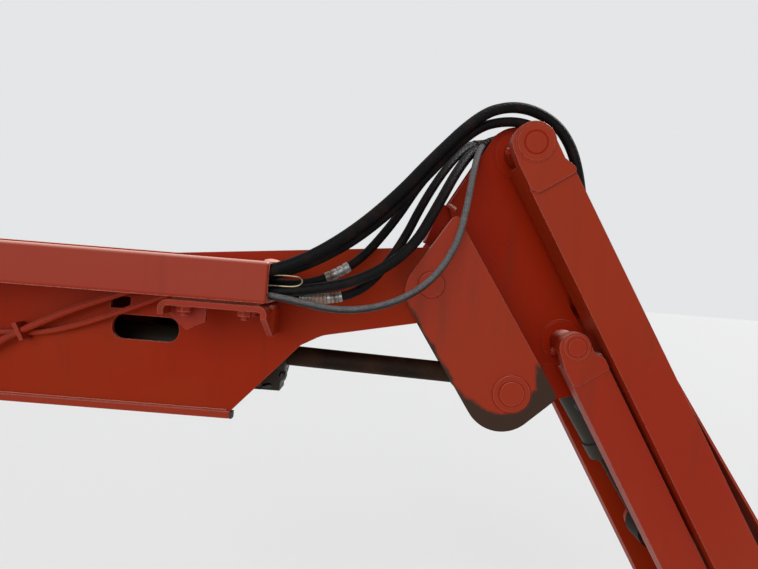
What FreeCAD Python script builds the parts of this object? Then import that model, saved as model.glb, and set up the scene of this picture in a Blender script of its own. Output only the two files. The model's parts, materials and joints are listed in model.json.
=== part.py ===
import FreeCAD
import Part
import math
import os

# Tip of a telescopic boom with its levelling knuckle, the parallel arms of the jib
# below it, and the bracket that carries the work platform. Millimetres, +Z up,
# +X along the boom towards the jib. Everything is drawn from the centre of the
# knuckle's pivot pin, and moved at the end so that the origin is the centre of
# the boom's rear flange.

os.makedirs("parts", exist_ok=True)

# Boom section
BOOM_REACH = 1000.0  # rear flange's back face to the knuckle's pivot
BOOM_WIDTH = 224.0  # over the side plates
BOOM_SIDE = 8.0  # side plate
BOOM_UNDER = -243.0  # lowest face of the bottom plate
BOOM_BOTTOM = 11.0  # bottom plate
BOOM_LIP = 6.0  # how far the bottom plate stands out past each side plate
BOOM_TOP = 18.0  # highest face of the top plate
BOOM_TOP_PLATE = 10.0
NOSE_START = -413.0  # where the top begins to rise towards the pivot
NOSE_TOP_END = -70.0  # where the nose's top plate ends, behind the pivot
NOSE_R = 60.0  # round end of the side plates, about the pivot
MOUTH_X = -307.0  # front end of the bottom plate
MOUTH_NOTCH = 52.0  # how far the bottom plate is cut back between the side plates
MOUTH_MID_X = -201.0  # the side plates' slanted front edges, from the mouth up
MOUTH_MID_Z = -115.6
MOUTH_HIGH_X = -167.6
MOUTH_HIGH_Z = -97.0
SEAL = 4.0  # rubber pad on each lip of the mouth
SLOT_X = -453.0
SLOT_Z = -108.0
SLOT_LONG = 107.0
SLOT_HIGH = 40.0
WINDOW_X = -497.0  # small square hole behind the feed hoses
WINDOW_Z = -69.0
WINDOW_LONG = 32.0
WINDOW_HIGH = 20.0
FLANGE = 16.0
FLANGE_WIDTH = 320.0
FLANGE_HEIGHT = 300.0
FLANGE_HOLE_R = 9.0
FLANGE_HOLES_Y = 276.0
FLANGE_HOLES_Z = 200.0

# Square tube beside the boom that carries the hoses
TUBE_TOP = 16.0
TUBE_HIGH = 60.0
TUBE_DEEP = 115.0
TUBE_WALL = 5.0
TUBE_START = -920.0
TUBE_END = -239.0
BRACKET_START = -393.0
BRACKET_END = -237.7
BRACKET_THICK = 8.4
BRACKET_ROUND = 13.0  # outside of its two bends
BRACKET_LIP = 26.5  # how far its rear end reaches below the tube
BRACKET_DROP = 53.4  # how far its front end reaches below the tube
BRACKET_TAPER_DEEP = 62.0  # the front end's outer corner is cut off, along Y and Z
BRACKET_TAPER_HIGH = 31.0
PACKING = 4.4  # plate between the tube and its bracket
PACKING_INSET = 12.0  # from the bracket's edges
GUSSET = 6.0
GUSSET_INSET = 34.0  # from the bracket's outer edge
GUSSET_LONG = 55.0
GUSSET_HIGH = 37.5

# Knuckle
KNUCKLE_GAP = 9.0  # each side, between the boom's nose and an outer plate
KNUCKLE_PLATE = 18.0
OUTER_TOP_X = 31.6  # corners of the outer plates
OUTER_TOP_Z = 117.9
OUTER_REAR_X = -49.8
OUTER_REAR_Z = -11.3
OUTER_LOW_X = 114.2
OUTER_LOW_Z = -254.5
OUTER_FRONT_X = 213.5
OUTER_FRONT_Z = -162.8
INNER_REAR_X = 26.4  # rear corner of the inner plates
INNER_REAR_Z = 138.4
BOX_OUT = 52.0  # mid-plane to an inner plate's outer face
BOX_PLATE = 10.0
BOSS_OUT = 55.0  # mid-plane to the raised boss faces
UPPER_RIM_R = 42.0  # raised faces round the arm pins
LOWER_RIM_R = 34.0
LEVEL_RIM_R = 29.0
WEB = 10.0
PIVOT_R = 20.0
PIVOT_RIM_R = 34.0
LEVEL_X = 139.7  # pin of the levelling cylinder's rod
LEVEL_Z = -161.4
LEVEL_PIN_R = 19.0
UPPER_X = 140.4  # top pin, upper arms
UPPER_Z = 231.2
UPPER_PIN_R = 17.5
LOWER_X = 238.4  # bottom pins, lower arms
LOWER_Z = -80.6
LOWER_PIN_R = 14.0
LIFT_X = 123.0  # base pin of the jib's lifting cylinder
LIFT_Z = 63.0
LIFT_PIN_R = 16.0
PIN_GAP = 0.3  # clearance round a pin that turns
SIDE_GAP = 0.5  # clearance beside a boss that turns

# Jib arms
ARM_DROP = 59.0  # degrees below +X at rest
ARM_LONG = 1200.0  # pin to pin
UPPER_DEEP = 76.0
UPPER_OUT = 147.0  # mid-plane to the tube's outer face
UPPER_WIDE = 63.5
UPPER_WALL = 6.0
UPPER_HEAD_R = 33.0  # round head of the lug
UPPER_HUB_R = 28.5  # boss that turns on the pin
UPPER_DOUBLER = 6.0
UPPER_DOUBLER_LONG = 72.0  # from the pin, over the tube's side
UPPER_CUT_REAR = 20.0  # the tube's slanted end, from the pin
UPPER_CUT_FRONT = 52.0
LOWER_DEEP = 64.0
LOWER_OUT = 133.0
LOWER_WIDE = 38.0
LOWER_WALL = 5.0
LOWER_HEAD_R = 24.0
LOWER_HUB_R = 20.5
LOWER_DOUBLER = 4.0
LOWER_DOUBLER_LONG = 58.0
LOWER_CUT_REAR = 24.0
LOWER_CUT_FRONT = 28.0
HUB_PROUD = 2.0  # how far a boss stands out of its lug
LUG = 16.0  # lug plate, inside the doubler
CROSS_TUBE_R = 34.0
END_TUBE_R = 24.0
END_TUBE_BACK = 130.0  # from the platform's upper pin
TIE_TUBE_R = 20.0
TIE_BACK = 420.0  # from the platform's lower pin
GUARD_START = 430.0  # along the upper arms
GUARD_RISE = 370.0
GUARD_HIGH = 22.0
GUARD = 4.0
GUARD_BACK = 140.0  # from the platform's upper pin
GUARD_SLANT = 30.0
HOSE_BAR_START = 300.0  # bar between the upper arms where the long hoses end
HOSE_BAR_LONG = 30.0
HOSE_BAR_LOW = 10.0
HOSE_BAR_HIGH = 56.0
ROD_EYE_DOWN = 709.5  # along the upper arms to the lifting cylinder's rod pin
ROD_EYE_OFF = 71.0  # from the upper arms' centre line towards the boom
ROD_EYE_PIN_R = 15.0

# Cylinders
LEVEL_BASE_X = -700.0
LEVEL_BASE_Z = -139.8
LEVEL_BASE_PIN_R = 15.0
LEVEL_BARREL_R = 32.0
LEVEL_BARREL_END = 456.0  # along the cylinder, from its base pin
LEVEL_ROD_R = 18.0
LEVEL_SHORTENS = 262.0  # how far the rod goes in from rest
PORT_BLOCK_LONG = 44.0
PORT_BLOCK_LOW = 62.0  # below the cylinder's axis
PORT_BLOCK_HALF = 24.0
LIFT_BARREL_R = 28.0
LIFT_BARREL_END = 405.0
LIFT_ROD_R = 18.0
LIFT_SHORTENS = 4.0
BORE_START = 60.0  # closed end of a barrel's bore, from its base pin
EYE_HALF = 26.0  # half the width of a rod's eye
BASE_EYE_HALF = 34.0  # and of a barrel's eye

# Platform bracket
FACE_AHEAD = 166.6  # face that the platform bolts to, from the upper pin
FACE_PLATE = 18.0
FACE_DROP = 30.0
FACE_WIDTH = 230.0
FACE_HEIGHT = 340.0
FACE_BOLT_R = 8.5
FACE_BOLTS_Y = 170.0
FACE_BOLTS_Z = 260.0

# Hoses. Each route is a list of points (x, y, z) from inside the square tube.
HOSE_GAP = 0.3  # between a clamp and its hose
BEND_SHARE = 0.45  # share of the shorter run that a bend takes
ROUTES = (
    # name, radius, points
    ("hose_run_1a", 8.5, (
        (-330, -213, -6), (-262, -213, -6), (-191, -214, 16), (-126, -203, 66), (-66, -176, 129),
        (-14, -146, 197), (22, -122, 240))),
    ("hose_run_1b", 7.5, (
        (-330, -196, -13), (-273, -196, -13), (-203, -196, 2), (-130, -184, 48), (-70, -159, 108),
        (-18, -132, 173), (16, -112, 217))),
    ("hose_run_2", 6.5, (
        (-330, -164, -14), (-276, -169, -13), (-195, -169, -18), (-120, -158, 20), (-66, -136, 93),
        (-28, -98, 163), (16, -42, 222), (58, 10, 258), (110, 30, 262))),
    ("hose_run_3", 6.5, (
        (-330, -179, -27), (-274, -181, -24), (-192, -184, -37), (-108, -178, -24), (-54, -154, 54),
        (-20, -116, 135), (22, -64, 208), (63, -7, 253), (110, 12, 262))),
    ("hose_run_4", 7.5, (
        (-330, -197, -31), (-276, -198, -31), (-198, -202, -24), (-110, -195, 0), (-42, -173, 54),
        (-5, -134, 128), (31, -82, 195), (67, -27, 242), (110, -7, 258))),
    ("hose_run_5", 6.0, (
        (-330, -215, -30), (-272, -215, -29), (-207, -214, -36), (-136, -214, -48), (-65, -207, -34),
        (-5, -188, 4), (30, -166, 62), (42, -149, 124), (53, -100, 176), (60, -64, 223), (76, -36, 252),
        (110, -26, 262))),
    ("hose_top_1a", 8.5, (
        (22, -122, 240), (58, -98, 283), (106, -78, 309), (155, -69, 304), (195, -68, 280), (226, -69, 238),
        (243, -70, 188), (261, -70, 136), (283, -70, 84), (308, -70, 38), (333, -70, -3))),
    ("hose_top_1b", 7.5, (
        (16, -112, 217), (50, -92, 261), (100, -72, 287), (147, -68, 283), (183, -69, 257), (206, -70, 214),
        (218, -70, 166), (237, -70, 116), (263, -70, 71), (290, -70, 28), (316, -70, -14))),
)
FEED_ROUTES = (
    # name, radius, points, with y counted from the boom's side
    ("feed_hose_upper", 5.5, (
        (-780, -15, -205), (-728, -15, -182), (-671, -16, -140), (-620, -18, -112.5),
        (-566, -20.5, -85.5), (-512, -24, -63), (-448, -27, -37.5))),
    ("feed_hose_lower", 4.5, (
        (-780, -9, -146), (-727, -7, -138), (-672, -6, -131), (-619, -6.5, -128.5),
        (-566, -11, -113.5), (-512, -17, -92.5), (-455, -22.5, -68.5), (-390, -26, -38))),
)
FEED_CLAMP_X = -645.5
FEED_CLAMP_LONG = 6.0
FEED_CLAMP_HIGH = 15.0  # above and below the upper feed hose
FEED_CLAMP_WALL = 2.5  # round the upper feed hose
PORT_X = 110.0  # port block between the knuckle's inner plates
PORT_Z = 258.0
PORT_HALF = 13.0
PORT_LONG = 12.0
FEED_PORT_LONG = 22.0
FEED_PORT_RIM = 2.5  # round a feed hose


def vec(x, y, z):
    return FreeCAD.Vector(x, y, z)


def outline(points):
    """A closed wire in the plane of the boom. A third number rounds that corner."""
    count = len(points)
    edges = []
    starts = []
    ends = []
    mids = []
    for i, point in enumerate(points):
        here = vec(point[0], 0, point[1])
        radius = point[2] if len(point) > 2 else 0
        before = points[i - 1]
        after = points[(i + 1) % count]
        if radius == 0:
            starts.append(here)
            ends.append(here)
            mids.append(None)
            continue
        back = (vec(before[0], 0, before[1]) - here).normalize()
        ahead = (vec(after[0], 0, after[1]) - here).normalize()
        half = back.getAngle(ahead) / 2
        reach = radius / math.tan(half)
        middle = (back + ahead).normalize()
        centre = here + middle * (radius / math.sin(half))
        starts.append(here + back * reach)
        ends.append(here + ahead * reach)
        mids.append(centre - middle * radius)
    for i in range(count):
        if mids[i] is not None:
            edges.append(Part.Arc(starts[i], mids[i], ends[i]).toShape())
        following = starts[(i + 1) % count]
        if (following - ends[i]).Length > 0.001:
            edges.append(Part.LineSegment(ends[i], following).toShape())
    return Part.Wire(Part.__sortEdges__(edges))


def plate(points, y0, y1, holes=()):
    """A flat plate from y0 to y1, with round holes given as (x, z, radius)."""
    solid = Part.Face(outline(points)).extrude(vec(0, y1 - y0, 0))
    solid.translate(vec(0, y0, 0))
    for x, z, radius in holes:
        solid = solid.cut(bar(x, z, radius, y0 - 1, y1 + 1))
    return solid


def bar(x, z, radius, y0, y1):
    """A round bar along Y."""
    return Part.makeCylinder(radius, y1 - y0, vec(x, y0, z), vec(0, 1, 0))


def ring(x, z, outer, inner, y0, y1):
    return bar(x, z, outer, y0, y1).cut(bar(x, z, inner, y0 - 1, y1 + 1))


def block(x0, x1, y0, y1, z0, z1):
    return Part.makeBox(x1 - x0, y1 - y0, z1 - z0, vec(x0, y0, z0))


def strip(start, end, thick, y0, y1, side):
    """A flat plate on edge between two points, its thickness on one side."""
    run = vec(end[0] - start[0], 0, end[1] - start[1])
    across = vec(-run.z, 0, run.x).normalize() * (thick * side)
    corners = [start, end, (end[0] + across.x, end[1] + across.z), (start[0] + across.x, start[1] + across.z)]
    return plate(corners, y0, y1)


def pair(solid):
    """The solid and its mirror image on the other side of the boom."""
    return [solid, solid.mirror(vec(0, 0, 0), vec(0, 1, 0))]


def save(name, *solids):
    """Moves a sub-part to its place behind the origin and writes it."""
    shape = solids[0] if len(solids) == 1 else Part.makeCompound(list(solids))
    shape = shape.copy()
    shape.translate(vec(BOOM_REACH, 0, -(BOOM_TOP + BOOM_UNDER) / 2))
    shape.exportStep("parts/" + name + ".step")


drop = math.radians(ARM_DROP)
ALONG = (math.cos(drop), -math.sin(drop))
FRONT = (math.sin(drop), math.cos(drop))


def on_arm(pin, along, front, radius=0):
    """A point of an arm: along it from its pin, and out towards its front."""
    x = pin[0] + ALONG[0] * along + FRONT[0] * front
    z = pin[1] + ALONG[1] * along + FRONT[1] * front
    return (x, z, radius) if radius else (x, z)


PIVOT = (0.0, 0.0)
LEVEL = (LEVEL_X, LEVEL_Z)
UPPER = (UPPER_X, UPPER_Z)
LOWER = (LOWER_X, LOWER_Z)
LIFT = (LIFT_X, LIFT_Z)
UPPER_END = on_arm(UPPER, ARM_LONG, 0)
LOWER_END = on_arm(LOWER, ARM_LONG, 0)
ROD_EYE = on_arm(UPPER, ROD_EYE_DOWN, -ROD_EYE_OFF)
WEB_TOP = (42.0, 86.0)  # the knuckle's cross web, on its front face
WEB_LOW = (186.0, -131.0)


def boom():
    half = BOOM_WIDTH / 2
    inside = half - BOOM_SIDE
    rear = FLANGE - BOOM_REACH
    floor = BOOM_UNDER + BOOM_BOTTOM
    rise = 0.097
    crown = NOSE_R + 2.3
    outer = [
        (rear, floor),
        (MOUTH_X, floor),
        (MOUTH_MID_X, MOUTH_MID_Z),
        (MOUTH_HIGH_X, MOUTH_HIGH_Z, NOSE_R),
        (NOSE_R * 0.207, -NOSE_R * 0.978),
    ]
    side_plate = plate(
        outer + [(NOSE_R, -NOSE_R * 0.78, 40), (NOSE_R, NOSE_R * 0.9, 40), (-NOSE_R * 0.1, crown - 3, 60),
                 (NOSE_START, BOOM_TOP), (rear, BOOM_TOP)],
        inside, half, [(0, 0, PIVOT_R + PIN_GAP)])
    ends = SLOT_LONG / 2 - SLOT_HIGH * 0.35
    slot = plate(
        [(SLOT_X - ends - 16, SLOT_Z - SLOT_HIGH / 2, 18), (SLOT_X + ends + 14, SLOT_Z - SLOT_HIGH / 2, 18),
         (SLOT_X + ends + 14, SLOT_Z + SLOT_HIGH / 2, 18), (SLOT_X - ends - 16, SLOT_Z + SLOT_HIGH / 2, 18)],
        inside - 1, half + 1)
    window = block(WINDOW_X - WINDOW_LONG / 2, WINDOW_X + WINDOW_LONG / 2, inside - 1, half + 1,
                   WINDOW_Z - WINDOW_HIGH / 2, WINDOW_Z + WINDOW_HIGH / 2)
    far_plate = side_plate.cut(slot)
    near_plate = far_plate.cut(window).mirror(vec(0, 0, 0), vec(0, 1, 0))
    save("boom_side_plates", near_plate, far_plate)
    bottom = block(rear, MOUTH_X, -half - BOOM_LIP, half + BOOM_LIP, BOOM_UNDER, floor)
    notch = block(MOUTH_X - MOUTH_NOTCH, MOUTH_X + 1, -inside, inside, BOOM_UNDER - 1, floor + 1)
    save("boom_bottom_plate", bottom.cut(notch))
    save("boom_top_plate", block(rear, NOSE_START, -inside, inside, BOOM_TOP - BOOM_TOP_PLATE, BOOM_TOP))
    nose_end = (NOSE_TOP_END, BOOM_TOP + (NOSE_TOP_END - NOSE_START) * rise)
    save("boom_nose_top_plate", strip((NOSE_START, BOOM_TOP), nose_end, BOOM_TOP_PLATE, -inside, inside, -1))
    under_end = (-NOSE_R * 0.793, -NOSE_R * 1.19)
    under_start = (MOUTH_HIGH_X + 17.6, MOUTH_HIGH_Z + 4.6)
    save("boom_nose_under_plate", strip(under_start, under_end, BOOM_TOP_PLATE, -inside, inside, 1))
    save("boom_nose_tube", ring(0, 0, PIVOT_RIM_R + 4, PIVOT_R + PIN_GAP, -inside, inside))
    middle = (BOOM_TOP + BOOM_UNDER) / 2
    flange = block(-BOOM_REACH, rear, -FLANGE_WIDTH / 2, FLANGE_WIDTH / 2,
                   middle - FLANGE_HEIGHT / 2, middle + FLANGE_HEIGHT / 2)
    for y in (-FLANGE_HOLES_Y / 2, FLANGE_HOLES_Y / 2):
        for z in (-FLANGE_HOLES_Z / 2, FLANGE_HOLES_Z / 2):
            spot = vec(-BOOM_REACH - 1, y, middle + z)
            flange = flange.cut(Part.makeCylinder(FLANGE_HOLE_R, FLANGE + 2, spot, vec(1, 0, 0)))
    save("boom_rear_flange", flange)
    save("boom_mouth_seal", *pair(block(MOUTH_X, MOUTH_X + SEAL, inside, half + BOOM_LIP, BOOM_UNDER, floor)))
    save("level_base_pin", bar(LEVEL_BASE_X, LEVEL_BASE_Z, LEVEL_BASE_PIN_R, -inside, inside))


def hose_tube():
    wall = -BOOM_WIDTH / 2
    bottom = TUBE_TOP - TUBE_HIGH
    outer = block(TUBE_START, TUBE_END, wall - TUBE_DEEP, wall, bottom, TUBE_TOP)
    inner = block(TUBE_START - 1, TUBE_END + 1, wall - TUBE_DEEP + TUBE_WALL, wall - TUBE_WALL,
                  bottom + TUBE_WALL, TUBE_TOP - TUBE_WALL)
    save("hose_tube", outer.cut(inner))
    bracket_top = bottom - PACKING
    shelf = bracket_top - BRACKET_THICK
    lip = bottom - BRACKET_LIP
    foot = bottom - BRACKET_DROP
    edge = wall - TUBE_DEEP
    inner_round = BRACKET_ROUND - BRACKET_THICK
    rear = BRACKET_START + BRACKET_THICK  # inner faces of the bent ends
    front = BRACKET_END - BRACKET_THICK
    bracket = plate(
        [(BRACKET_START, bracket_top, BRACKET_ROUND), (BRACKET_START, lip), (rear, lip),
         (rear, shelf, inner_round), (front, shelf, inner_round),
         (front, foot), (BRACKET_END, foot), (BRACKET_END, bracket_top, BRACKET_ROUND)],
        edge, wall)
    corner = (front - 1, edge - 1)
    taper = Part.makePolygon([vec(*corner, foot + BRACKET_TAPER_HIGH), vec(*corner, foot - 1),
                              vec(front - 1, edge + BRACKET_TAPER_DEEP, foot - 1),
                              vec(*corner, foot + BRACKET_TAPER_HIGH)])
    bracket = bracket.cut(Part.Face(taper).extrude(vec(BRACKET_THICK + 2, 0, 0)))
    packing = block(BRACKET_START + BRACKET_ROUND + 3, BRACKET_END - BRACKET_ROUND,
                    edge + PACKING_INSET, wall, bracket_top, bottom)
    middle = BRACKET_START + BRACKET_THICK / 2
    gusset = plate(
        [(middle, shelf), (middle, lip), (middle + GUSSET_LONG * 0.5, shelf - GUSSET_HIGH),
         (middle + GUSSET_LONG, shelf - GUSSET_HIGH * 0.62), (middle + GUSSET_LONG, shelf)],
        edge + GUSSET_INSET, edge + GUSSET_INSET + GUSSET)
    save("hose_tube_bracket", bracket.fuse([packing, gusset]).removeSplitter())


def knuckle():
    inside = BOOM_WIDTH / 2 + KNUCKLE_GAP
    out = inside + KNUCKLE_PLATE
    side = [
        (OUTER_TOP_X, OUTER_TOP_Z, 8),
        (OUTER_REAR_X, OUTER_REAR_Z, 50),
        (OUTER_LOW_X, OUTER_LOW_Z, 60),
        (OUTER_FRONT_X, OUTER_FRONT_Z, 12),
        (WEB_TOP[0] + 3, WEB_TOP[1] + 5, 12),
    ]
    outer = plate(side, inside, out, [(LEVEL_X, LEVEL_Z, LEVEL_PIN_R)])
    outer = outer.fuse(bar(LEVEL_X, LEVEL_Z, LEVEL_RIM_R, out - 1, out + 2))
    outer = outer.fuse(bar(0, 0, PIVOT_RIM_R, BOOM_WIDTH / 2 + SIDE_GAP, inside + 1))
    outer = outer.cut(bar(0, 0, PIVOT_R, 0, out + 1)).cut(bar(LEVEL_X, LEVEL_Z, LEVEL_PIN_R, 0, out + 3))
    save("knuckle_outer_plates", *pair(outer))

    top = UPPER_RIM_R
    low = LOWER_RIM_R
    inner = [
        (INNER_REAR_X, INNER_REAR_Z),
        (UPPER_X - top * 1.057, UPPER_Z + top * 0.733, top * 0.7),
        (UPPER_X - top * 0.343, UPPER_Z + top * 1.233, top * 1.2),
        (UPPER_X + top * 1.181, UPPER_Z + top * 0.733, top * 1.2),
        (LOWER_X + low * 0.312, LOWER_Z + low * 1.724, low * 0.6),
        (LOWER_X + low * 1.135, LOWER_Z + low * 0.547, low * 0.9),
        (LOWER_X + low * 1.135, LOWER_Z - low * 1.1, low * 1.05),
        (LOWER_X - low * 0.718, LOWER_Z - low * 1.218, low * 0.35),
        WEB_LOW,
        WEB_TOP,
    ]
    cheek = plate(inner, BOX_OUT - BOX_PLATE, BOX_OUT, [(LIFT_X, LIFT_Z, LIFT_PIN_R)])
    for x, z, pin, rim in ((UPPER_X, UPPER_Z, UPPER_PIN_R, top), (LOWER_X, LOWER_Z, LOWER_PIN_R, low)):
        cheek = cheek.fuse(bar(x, z, rim, BOX_OUT - 1, BOSS_OUT)).cut(bar(x, z, pin, 0, BOSS_OUT + 1))
    save("knuckle_inner_plates", *pair(cheek))
    save("knuckle_web", strip(WEB_TOP, WEB_LOW, WEB, -inside, inside, -1))
    rear_low = (INNER_REAR_X + 13.6, INNER_REAR_Z + 1.6)
    rear_high = (UPPER_X - top * 1.295, UPPER_Z - top * 0.219)
    save("knuckle_rear_web", strip(rear_low, rear_high, WEB, -BOX_OUT + BOX_PLATE, BOX_OUT - BOX_PLATE, -1))
    save("pivot_pin", bar(0, 0, PIVOT_R, -out - 3, out + 3))
    save("level_rod_pins", *pair(bar(LEVEL_X, LEVEL_Z, LEVEL_PIN_R, EYE_HALF + 6, out + 4)))
    reach = UPPER_OUT + UPPER_DOUBLER + HUB_PROUD
    save("upper_arm_pin", bar(UPPER_X, UPPER_Z, UPPER_PIN_R, -reach, reach))
    reach = LOWER_OUT + HUB_PROUD + 1
    save("lower_arm_pins", *pair(bar(LOWER_X, LOWER_Z, LOWER_PIN_R, BOX_OUT - BOX_PLATE, reach)))
    save("lift_base_pin", bar(LIFT_X, LIFT_Z, LIFT_PIN_R, -BOX_OUT, BOX_OUT))


def arm(pin, far_pin, deep, out, wide, wall, head, hub, doubler, doubler_long, cut_rear, cut_front, pin_r):
    """One side's arm: a hollow tube, with a lug, a doubler and a long boss at each end."""
    half = deep / 2
    length = ARM_LONG
    inner_face = out - wide
    cap = wall * 1.6
    body = plate([on_arm(pin, cut_rear, -half), on_arm(pin, length - cut_rear, -half),
                  on_arm(pin, length - cut_front, half), on_arm(pin, cut_front, half)], inner_face, out)
    low = half - wall
    hollow = plate([on_arm(pin, cut_rear + cap, -low), on_arm(pin, length - cut_rear - cap, -low),
                    on_arm(pin, length - cut_front - cap, low), on_arm(pin, cut_front + cap, low)],
                   inner_face + wall, out - wall)
    body = body.cut(hollow)
    for end, way in ((pin, 1), (far_pin, -1)):
        crown = [on_arm(end, -way * head, -head, head * 0.97),
                 on_arm(end, -way * head, head * 0.94, head * 0.92)]
        neck = on_arm(end, way * cut_front * 0.8, head * 0.9)
        shoulder = on_arm(end, way * (cut_front + 8), half)
        lug = plate(crown + [neck, shoulder, on_arm(end, way * (cut_front + 10), -half),
                             on_arm(end, way * cut_rear, -half)], out - LUG, out)
        over = plate(crown + [neck, shoulder, on_arm(end, way * (doubler_long - 4), half, doubler),
                              on_arm(end, way * doubler_long, -half, doubler * 2.4),
                              on_arm(end, way * cut_rear, -half)], out, out + doubler)
        boss = bar(end[0], end[1], hub, BOSS_OUT + SIDE_GAP, out + doubler + HUB_PROUD)
        body = body.fuse([lug, over, boss])
    for end in (pin, far_pin):
        body = body.cut(bar(end[0], end[1], pin_r + PIN_GAP, BOSS_OUT - 1, out + doubler + HUB_PROUD + 1))
    return body.removeSplitter()


def jib():
    upper = arm(UPPER, UPPER_END, UPPER_DEEP, UPPER_OUT, UPPER_WIDE, UPPER_WALL, UPPER_HEAD_R, UPPER_HUB_R,
                UPPER_DOUBLER, UPPER_DOUBLER_LONG, UPPER_CUT_REAR, UPPER_CUT_FRONT, UPPER_PIN_R)
    far, near = pair(upper)
    save("upper_arm_near", near)
    save("upper_arm_far", far)
    lower = arm(LOWER, LOWER_END, LOWER_DEEP, LOWER_OUT - LOWER_DOUBLER, LOWER_WIDE - LOWER_DOUBLER,
                LOWER_WALL, LOWER_HEAD_R, LOWER_HUB_R, LOWER_DOUBLER, LOWER_DOUBLER_LONG, LOWER_CUT_REAR,
                LOWER_CUT_FRONT, LOWER_PIN_R)
    far, near = pair(lower)
    save("lower_arm_near", near)
    save("lower_arm_far", far)
    gap = UPPER_OUT - UPPER_WIDE
    tube = on_arm(UPPER, ROD_EYE_DOWN, 0)
    cross = bar(tube[0], tube[1], CROSS_TUBE_R, -gap, gap)
    side = CROSS_TUBE_R * 0.75
    eye_out = -ROD_EYE_OFF - ROD_EYE_PIN_R * 1.7
    lug = plate([on_arm(UPPER, ROD_EYE_DOWN - side, 0), on_arm(UPPER, ROD_EYE_DOWN + side, 0),
                 on_arm(UPPER, ROD_EYE_DOWN + side, eye_out, side * 0.97),
                 on_arm(UPPER, ROD_EYE_DOWN - side, eye_out, side * 0.97)],
                EYE_HALF + 6, EYE_HALF + 18, [(ROD_EYE[0], ROD_EYE[1], ROD_EYE_PIN_R)])
    save("jib_cross_tube", cross.fuse(pair(lug)))
    end_tube = on_arm(UPPER, ARM_LONG - END_TUBE_BACK, 0)
    save("jib_end_tube", bar(end_tube[0], end_tube[1], END_TUBE_R, -gap, gap))
    save("lift_rod_pins", *pair(bar(ROD_EYE[0], ROD_EYE[1], ROD_EYE_PIN_R, EYE_HALF + 6, EYE_HALF + 24)))
    low_gap = LOWER_OUT - LOWER_WIDE
    tie = on_arm(LOWER, ARM_LONG - TIE_BACK, 0)
    save("lower_tie_tube", bar(tie[0], tie[1], TIE_TUBE_R, -low_gap, low_gap))
    front = UPPER_DEEP / 2
    flat = GUARD_START + GUARD_RISE
    last = ARM_LONG - GUARD_BACK
    slope = GUARD_START + GUARD_RISE * 0.12
    guard = plate([on_arm(UPPER, GUARD_START, front), on_arm(UPPER, flat, front + GUARD_HIGH + GUARD),
                   on_arm(UPPER, last, front + GUARD_HIGH + GUARD), on_arm(UPPER, last + GUARD_SLANT, front),
                   on_arm(UPPER, last + GUARD_SLANT - GUARD, front),
                   on_arm(UPPER, last - GUARD * 0.6, front + GUARD_HIGH),
                   on_arm(UPPER, flat, front + GUARD_HIGH), on_arm(UPPER, slope, front)],
                  -UPPER_OUT, UPPER_OUT)
    save("hose_guard", guard)
    save("jib_hose_bar", hose_bar())


def tube_along(points, radius):
    """A round tube along straight runs joined by bends that just touch them."""
    spots = [vec(*point) for point in points]
    edges = []
    here = spots[0]
    for i in range(1, len(spots) - 1):
        corner = spots[i]
        back = spots[i - 1] - corner
        ahead = spots[i + 1] - corner
        reach = BEND_SHARE * min(back.Length, ahead.Length)
        back.normalize()
        ahead.normalize()
        half_turn = (math.pi - back.getAngle(ahead)) / 2
        bend = reach / math.tan(half_turn)
        middle = (back + ahead).normalize()
        centre = corner + middle * (bend / math.cos(half_turn))
        start = corner + back * reach
        end = corner + ahead * reach
        edges.append(Part.LineSegment(here, start).toShape())
        edges.append(Part.Arc(start, centre - middle * bend, end).toShape())
        print("  bend", round(bend), "mm,", round(bend / radius / 2, 1), "diameters")
        here = end
    edges.append(Part.LineSegment(here, spots[-1]).toShape())
    path = Part.Wire(edges)
    section = Part.Wire(Part.makeCircle(radius, spots[0], spots[1] - spots[0]))
    solid = path.makePipeShell([section], True, False)
    share = solid.Volume / (math.pi * radius ** 2 * path.Length)
    print("  length", round(path.Length), "mm, volume over section times length", round(share, 4))
    return solid


def hose_bar():
    """The bar between the upper arms that the two long hoses go into."""
    gap = UPPER_OUT - UPPER_WIDE
    end = HOSE_BAR_START + HOSE_BAR_LONG
    return plate([on_arm(UPPER, HOSE_BAR_START, HOSE_BAR_LOW), on_arm(UPPER, end, HOSE_BAR_LOW),
                  on_arm(UPPER, end, HOSE_BAR_HIGH), on_arm(UPPER, HOSE_BAR_START, HOSE_BAR_HIGH)], -gap, gap)


def run_at(points, x):
    """The two points of a route on each side of a place along the boom."""
    for start, end in zip(points, points[1:]):
        if start[0] <= x <= end[0]:
            return vec(*start), vec(*end)


def feed_clamp(routes):
    """A plate square to the upper feed hose, bored for both hoses."""
    wall = -BOOM_WIDTH / 2
    radius, points = routes["feed_hose_upper"]
    start, end = run_at(points, FEED_CLAMP_X)
    spot = start + (end - start) * ((FEED_CLAMP_X - start.x) / (end.x - start.x))
    slope = math.degrees(math.atan2(end.z - start.z, end.x - start.x))
    clamp = block(-FEED_CLAMP_LONG / 2, FEED_CLAMP_LONG / 2, spot.y - radius - FEED_CLAMP_WALL, wall,
                  -FEED_CLAMP_HIGH, FEED_CLAMP_HIGH)
    clamp.rotate(vec(0, 0, 0), vec(0, 1, 0), -slope)
    clamp.translate(vec(spot.x, 0, spot.z))
    for radius, points in routes.values():
        start, end = run_at(points, FEED_CLAMP_X)
        clamp = clamp.cut(Part.makeCylinder(radius + HOSE_GAP, (end - start).Length, start, end - start))
    return clamp


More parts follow.
